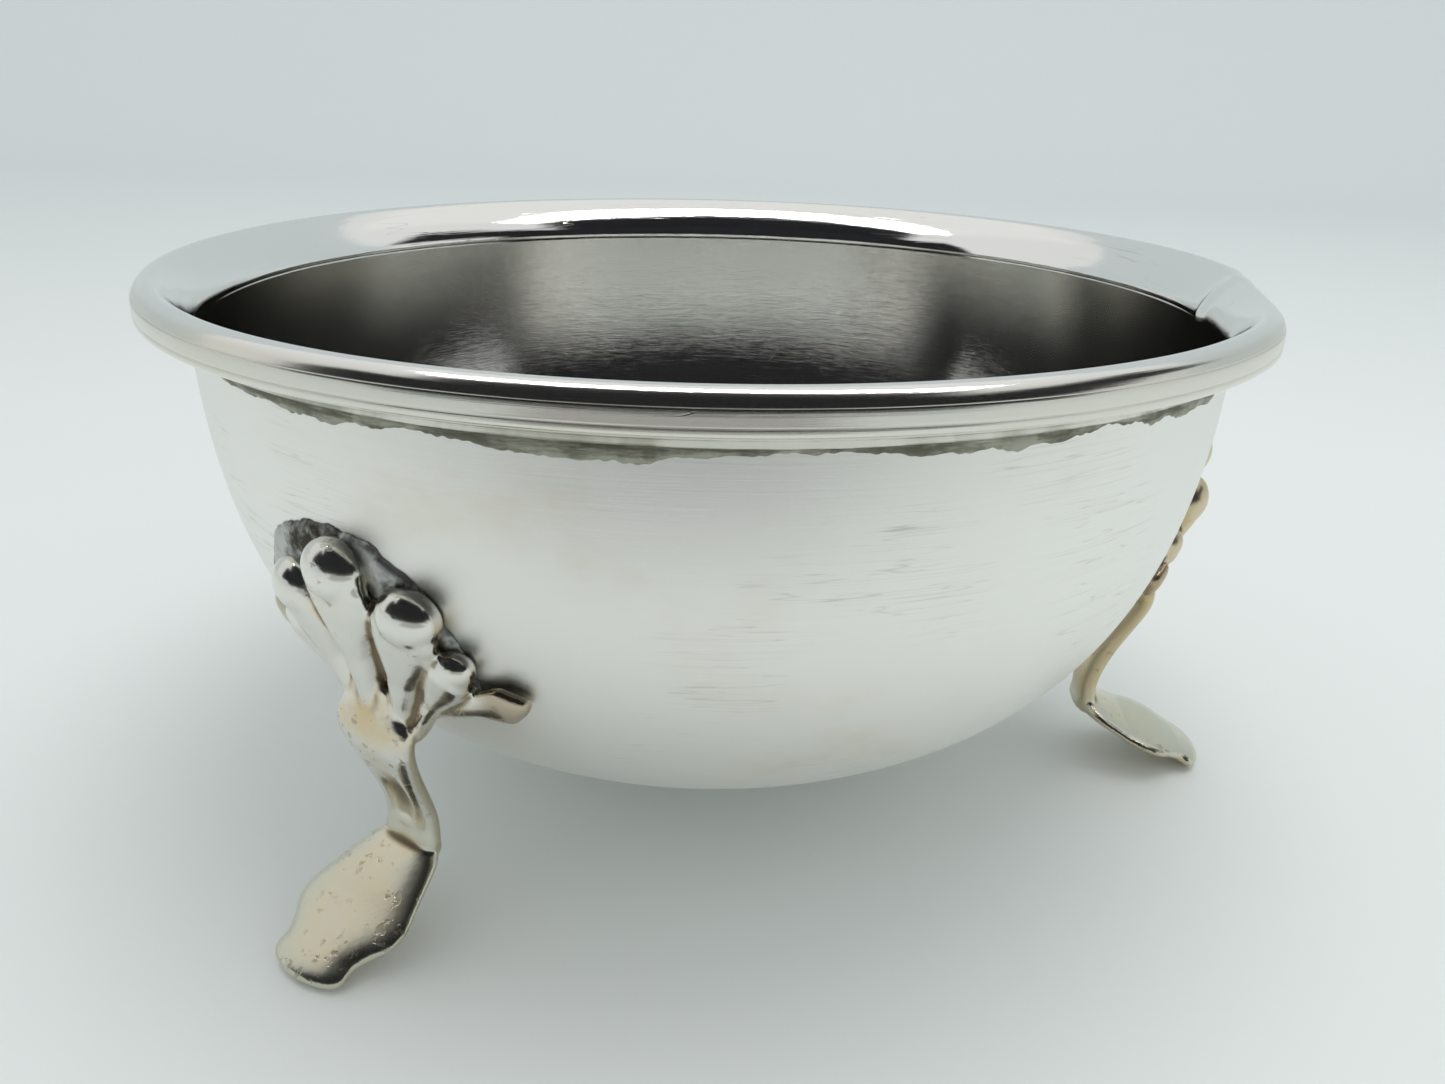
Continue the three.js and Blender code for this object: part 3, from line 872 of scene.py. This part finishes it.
def rim_finish():
    """A polished crest; past 8 mm along the profile, which is the band, it is duller and warmer."""
    finish = Finish("polished_silver_rim", Metallic=1.0)
    lines = finish.attribute("lines")
    along = finish.attribute("along")
    wrapped = finish.wrapped(along, 30.0, 2.4)
    brushed = finish.noise(wrapped, 2.5, 5.0, 0.65)
    cloudy = finish.noise(finish.place, 60.0, 4.0)
    warm = finish.ramp(finish.noise(finish.place, 34.0, 4.0), 0.5, 0.72) * finish.ramp(along, 7.0, 9.0)
    nicks = finish.scratches((30, 30, 900), (0.4, 0.7, 0.2), 0.006, 0.5)
    silver = finish.mix(cloudy, (0.86, 0.86, 0.84), (0.92, 0.915, 0.89))
    satin = finish.ramp(along, 7.6, 8.6)
    silver = finish.mix(satin * 0.7, silver, DULL_BAND)
    silver = finish.mix(warm * 0.4, silver, WARM_BAND)
    silver = finish.mix(finish.ramp(lines * (0.2 + cloudy), 0.4, 1.0) * 0.4, silver, LINE_TARNISH)
    silver = finish.mix(nicks * 0.35, silver, SCRATCH_GREY)
    finish.feed("Base Color", silver)
    finish.feed("Roughness", (0.05 + 0.05 * brushed + 0.02 * cloudy + 0.1 * lines + 0.17 * satin) * 0.72)
    finish.feed("Normal", finish.bump(brushed * 0.6 - nicks, 0.08, 0.0002))
    return finish.material


rim_moulding.data.materials.append(rim_finish())
print("rim finish:", len(rim_moulding.data.materials[0].node_tree.nodes), "nodes")

# %% [markdown]
# ## Cast silver of the legs
#
# A casting is polished only where the wheel can reach. The hollows keep a brown and golden tarnish
# with painted shade over it, the sides that face away from the light carry painted shade in a
# tarnish brown, the tails are dark brown, the knee is amber, and the skin is pitted. The numbers
# stored at the vertices say where each of these lies.

# %% Leg finish
WORN_FOOT = (0.63, 0.62, 0.49)
# Gold tarnish, also used as painted shade in the broad hollows.
GOLD_TARNISH_AND_SHADE = (0.80, 0.67, 0.45)
# Tarnish brown, also used as painted shade on the leg's sides that face away from the light.
SIDE_TARNISH_AND_SHADE = (0.58, 0.47, 0.29)
LEG_TARNISH = (0.66, 0.53, 0.31)
# The dark brown of the tails.
TAIL_DARK_BROWN = (0.42, 0.33, 0.21)
KNEE_AMBER = (0.60, 0.44, 0.20)
# Near-black brown for tarnish and painted shade in the creases.
CREASE_TARNISH_AND_SHADE = (0.20, 0.15, 0.09)
PIT_BROWN = (0.32, 0.27, 0.2)


def leg_finish():
    """Silver with eight layers of wear, tarnish, painted shade and pits, from the broadest to the darkest."""
    finish = Finish("cast_silver_leg", Metallic=1.0)
    hollow = finish.attribute("hollow")
    cloudy = finish.noise(finish.place, 120.0, 5.0, 0.6)
    speckle = finish.noise(finish.place, 900.0, 3.0, 0.6)
    dip = finish.attribute("dip")
    # Tarnish and painted shade in the creases, darkest where the casting is most hollow.
    deep = finish.ramp(hollow + 0.3 * dip + 0.03 * cloudy, 0.03, 0.15)
    up = finish.part(2)
    worn = finish.ramp(up, 0.020, 0.006)
    # Gold tarnish with painted shade, strongest in the broad hollows where shade falls.
    gold_tarnish_and_shade = finish.ramp(dip * 1.2 + cloudy + 0.1 * worn, 0.40, 0.74)
    pitted = finish.ramp(speckle, 0.58, 0.66) * finish.ramp(cloudy, 0.45, 0.6)
    silver = finish.mix(cloudy, (0.72, 0.715, 0.655), (0.87, 0.865, 0.81))
    silver = finish.mix(worn * (0.55 + 0.5 * cloudy), silver, WORN_FOOT)
    silver = finish.mix(gold_tarnish_and_shade * 0.6, silver, GOLD_TARNISH_AND_SHADE)
    # Painted shade, with tarnish, on the sides that face neither outwards nor up.
    side_tarnish_and_shade = finish.ramp(finish.attribute("side_tarnish_and_shade") + 0.3 * cloudy, 0.45, 0.85)
    silver = finish.mix(side_tarnish_and_shade * 0.75, silver, SIDE_TARNISH_AND_SHADE)
    tarnish = finish.attribute("tarnish") * finish.ramp(up, 0.007, 0.011)
    silver = finish.mix(tarnish * (0.55 + 0.4 * cloudy), silver, LEG_TARNISH)
    # The tails are painted dark brown.
    tail = finish.attribute("tail")
    silver = finish.mix(tail * (0.6 + 0.3 * cloudy), silver, TAIL_DARK_BROWN)
    knee = finish.ramp(up, 0.0215, 0.024) * finish.ramp(up, 0.028, 0.0255)
    silver = finish.mix(knee * finish.ramp(cloudy, 0.4, 0.62) * 0.6, silver, KNEE_AMBER)
    # Painted shade and tarnish in the creases.
    silver = finish.mix(deep * 0.85, silver, CREASE_TARNISH_AND_SHADE)
    silver = finish.mix(pitted * 0.5, silver, PIT_BROWN)
    finish.feed("Base Color", silver)
    rough = 0.12 + 0.12 * cloudy + 0.35 * deep + 0.15 * pitted + 0.14 * tarnish + 0.06 * worn
    finish.feed("Roughness", rough)
    finish.feed("Normal", finish.bump(cloudy * 0.8 + speckle * 0.12 - pitted * 0.2, 0.35, 0.00025))
    return finish.material


cast_silver = leg_finish()
for leg in leg_pieces:
    leg.data.materials.append(cast_silver)

# %% [markdown]
# ## Solder
#
# Hard solder cools grey and rough, with black flux burnt into its pits.

# %% Solder finish
def solder_finish(name, pale, dark, low, high, smear):
    """Grey with dark burnt patches, which a smear above 1 draws out sideways."""
    finish = Finish(name, Metallic=1.0)
    cloudy = finish.noise(finish.stretched((1, 1, smear)), 160.0, 5.0, 0.65)
    grain = finish.noise(finish.place, 700.0, 4.0, 0.6)
    burnt = finish.ramp(cloudy * 0.75 + grain * 0.25, low, high)
    finish.feed("Base Color", finish.mix(burnt, pale, dark))
    finish.feed("Roughness", 0.38 + 0.25 * burnt + 0.15 * grain)
    finish.feed("Normal", finish.bump(cloudy + grain * 0.4, 0.5, 0.0004))
    return finish.material


RIM_SOLDER_COLOURS = (0.41, 0.41, 0.34), (0.26, 0.255, 0.20)
PATCH_SOLDER_COLOURS = (0.56, 0.57, 0.55), (0.10, 0.09, 0.07)
ring_solder = solder_finish("silver_solder_rim", *RIM_SOLDER_COLOURS, 0.42, 0.6, smear=7.0)
rim_solder.data.materials.append(ring_solder)
patch_solder = solder_finish("silver_solder_patch", *PATCH_SOLDER_COLOURS, 0.44, 0.6, smear=1.0)
for patch in patch_pieces:
    patch.data.materials.append(patch_solder)

# %% [markdown]
# ## The table and the light
#
# Polished silver shows what stands round it more than its own colour. The bowl stands on a pale
# sweep in an even white tent. A dark card in front gives the rim and the mouth their dark bands,
# and rows of small overhead lamps give the sparkle on the crest.

# %% Table sweep
SWEEP_FRONT, SWEEP_BACK = -6000.0, 700.0
SWEEP_HALF = 6000.0
SWEEP_BEND, SWEEP_TOP = 350.0, 1300.0


def flat_mesh(name, points, faces, material):
    """An object made of flat faces, with one material."""
    mesh = bpy.data.meshes.new(name)
    mesh.from_pydata((np.array(points, float) * MM).tolist(), [], faces)
    mesh.materials.append(material)
    return linked(name, mesh)


def sweep(material):
    """A floor that curves up behind: flat, then a quarter circle, then upright."""
    turn = np.linspace(0, np.pi / 2, 24)
    depth = SWEEP_BACK + SWEEP_BEND * np.sin(turn)
    depth = np.concatenate([[SWEEP_FRONT], depth, [SWEEP_BACK + SWEEP_BEND]])
    height = np.concatenate([[0.0], SWEEP_BEND - SWEEP_BEND * np.cos(turn), [SWEEP_TOP]])
    across = np.tile([-SWEEP_HALF, SWEEP_HALF], len(depth))
    points = np.stack([across, np.repeat(depth, 2), np.repeat(height, 2)], -1)
    start = np.arange(len(depth) - 1) * 2
    faces = np.stack([start, start + 1, start + 3, start + 2], -1).tolist()
    floor = flat_mesh("table_sweep", points, faces, material)
    floor.data.shade_smooth()
    return floor


def table_finish():
    """Matt off-white that turns a little bluer with the distance from the front."""
    finish = Finish("pale_table", Roughness=0.6, Metallic=0.0)
    grain = finish.noise(finish.place, 6.0, 3.0)
    away = finish.part(1)
    pale = finish.mix(grain, (0.79, 0.83, 0.82), (0.83, 0.865, 0.855))
    finish.feed("Base Color", finish.mix(finish.ramp(away, 0.1, 1.0) * 0.9, pale, (0.80, 0.85, 0.865)))
    return finish.material


table = sweep(table_finish())

# %% [markdown]
# Cards stand where dark and bright things would be round a table: a dark one in front and above it,
# dark ones at the sides, and a white one overhead. A grey one low in front is painted shade: it stands
# for the shaded table in front of the bowl. Only reflections see them, so they shape the silver and
# leave the table's soft light alone.

# %% Cards and lamps
LAMP_SPACING = 30.0
LAMP_HALF = 6.0
LAMP_DEPTHS = [-55.0, 5.0]
LAMP_HEIGHT = 498.0
LAMP_STRENGTH = 45.0


def glow(name, colour, strength):
    """A black surface that only gives off its colour."""
    finish = Finish(name, Metallic=0.0, Roughness=1.0)
    finish.shader.inputs["Base Color"].default_value = (0, 0, 0, 1)
    finish.shader.inputs["Emission Color"].default_value = (*colour, 1)
    finish.shader.inputs["Emission Strength"].default_value = strength
    return finish.material


def card(name, points, material):
    """A flat four-cornered card that only reflections see."""
    only_in_reflections(flat_mesh(name, points, [[0, 1, 2, 3]], material))


def only_in_reflections(thing):
    """Hides a piece of the stage from everything but the silver."""
    thing.visible_camera = False
    thing.visible_diffuse = False
    thing.visible_shadow = False
    thing.visible_transmission = False


# The corners of each card go round it, in millimetres.
dark = glow("dark_card", (0.010, 0.010, 0.012), 1.0)
card("dark_card_front", [(-420, -330, 10), (420, -330, 10), (420, -300, 420), (-420, -300, 420)], dark)
card("dark_card_over", [(-420, -300, 420), (420, -300, 420), (300, -90, 500), (-300, -90, 500)], dark)
for side, wing in ((-420, "left"), (420, "right")):
    corners = [(side, -330, 60), (side, -140, 60), (side, -140, 420), (side, -330, 420)]
    card("dark_card_" + wing, corners, dark)
card("dark_card_high", [(420, -140, 190), (420, 120, 190), (420, 120, 420), (420, -140, 420)], dark)
# Painted shade: a dim grey sheet that reflections see in place of the shaded table in front.
grey = glow("grey_card", (1.0, 1.0, 1.0), 0.42)
card("shaded_table_card_low", [(-85, -135, 3), (85, -135, 3), (120, -330, 3), (-120, -330, 3)], grey)
white = glow("white_card", (1.0, 1.0, 0.99), 0.8)
card("white_card_over", [(-300, -80, 505), (300, -80, 505), (300, 330, 505), (-300, 330, 505)], white)


def lamp_rows():
    """Rows of small square lamps overhead: one grid of squares, each a quad of its own."""
    across, depth = np.meshgrid(np.arange(-270, 271, LAMP_SPACING), LAMP_DEPTHS, indexing="ij")
    middle = np.stack([across.ravel(), depth.ravel(), np.full(across.size, LAMP_HEIGHT)], -1)
    corner = LAMP_HALF * np.array([(-1, -1, 0), (1, -1, 0), (1, 1, 0), (-1, 1, 0)])
    points = (middle[:, None] + corner[None]).reshape(-1, 3)
    faces = np.arange(len(points)).reshape(-1, 4).tolist()
    light = glow("lamp_white", (1.0, 0.98, 0.95), LAMP_STRENGTH)
    only_in_reflections(flat_mesh("lamp_rows", points, faces, light))


lamp_rows()

# %% [markdown]
# The tent's light is even, and one broad lamp overhead gives the soft shadow under the bowl.

# %% Tent and softbox
TENT_COLOUR, TENT_STRENGTH = (0.985, 1.0, 1.0, 1), 0.76
SOFTBOX_PLACE, SOFTBOX_SIZE = (0.08, 0.02, 0.6), 0.42  # metres
SOFTBOX_POWER = 1.1  # watts

world = bpy.context.scene.world or bpy.data.worlds.new("tent")
bpy.context.scene.world = world
world.use_nodes = True
backdrop = world.node_tree.nodes["Background"]
backdrop.inputs["Color"].default_value = TENT_COLOUR
backdrop.inputs["Strength"].default_value = TENT_STRENGTH

overhead = bpy.data.lights.new("overhead_softbox", "AREA")
overhead.shape = "DISK"
overhead.size = SOFTBOX_SIZE
overhead.energy = SOFTBOX_POWER
overhead_lamp = linked("overhead_softbox", overhead)
overhead_lamp.location = SOFTBOX_PLACE
overhead_lamp.visible_glossy = False

# %% [markdown]
# ## The camera
#
# The bowl is seen from close by and a little above, with a wide lens, so its near rim looks large.

# %% Camera
CAMERA_TURN = np.radians(5.0)
CAMERA_PITCH = 0.375
CAMERA_ROLL = 0.025
CAMERA_PLACE = (13.83, -139.49, 80.64)
CAMERA_LENS = 30.67

camera = bpy.data.cameras.new("camera")
camera.sensor_width = 36.0
camera.lens = CAMERA_LENS
camera.clip_start = 0.005
camera.clip_end = 20.0
camera_object = linked("camera", camera)
look = Matrix.Rotation(CAMERA_TURN, 4, "Z") @ Matrix.Rotation(np.pi / 2 - CAMERA_PITCH, 4, "X")
look = look @ Matrix.Rotation(CAMERA_ROLL, 4, "Z")
camera_object.matrix_world = Matrix.Translation(Vector(CAMERA_PLACE) * MM) @ look
bpy.context.scene.camera = camera_object

bpy.context.scene.view_settings.view_transform = "Standard"
bpy.context.scene.view_settings.look = "None"
